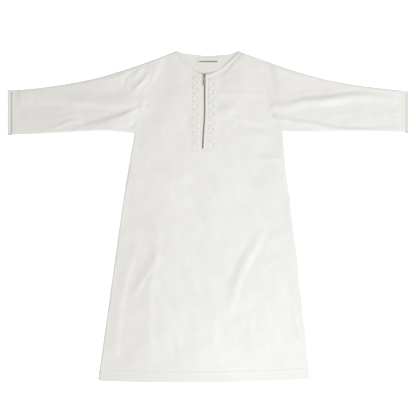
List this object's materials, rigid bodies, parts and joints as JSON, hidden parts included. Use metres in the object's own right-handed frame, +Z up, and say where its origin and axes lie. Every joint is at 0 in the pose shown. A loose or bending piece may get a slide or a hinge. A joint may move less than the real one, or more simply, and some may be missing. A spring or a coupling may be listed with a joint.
{
  "type": "long robe with zip placket, laid flat",
  "caption": "Long white satin robe with spread sleeves, rounded V neck and a short metal zip, laid flat on its back.",
  "frame": {"origin": "centre of the robe's outline, on the surface that it lies on", "axes": "+X across the robe towards the sleeve on the right of the picture, +Y from the hem to the neck, +Z up, out of the front"},
  "size_m": [1.2882, 1.067, 0.0102],
  "materials": {
    "cloth": "off-white satin weave with a soft sheen",
    "zip_tape": "matt woven tape",
    "zip_metal": "warm antique nickel, slightly worn",
    "label": "smooth woven label, bare"
  },
  "bodies": {
    "garment": {"front_body": "cloth", "back_body": "cloth", "sleeve_left": "cloth", "sleeve_right": "cloth", "zip_tape_left": "zip_tape", "zip_tape_right": "zip_tape", "zip_chain": "zip_metal", "zip_stop": "zip_metal", "zip_slider": "zip_metal", "neck_label": "label"},
    "pull_tab": {"zip_pull_tab": "zip_metal"}
  },
  "joints": [
    {"name": "pull_tab_hinge", "type": "hinge", "parent": "garment", "child": "pull_tab", "pos_m": [-0.0113, 0.4534, 0.0079], "axis": [-0.9962, 0.0872, 0], "range_deg": [0, 160]}
  ]
}
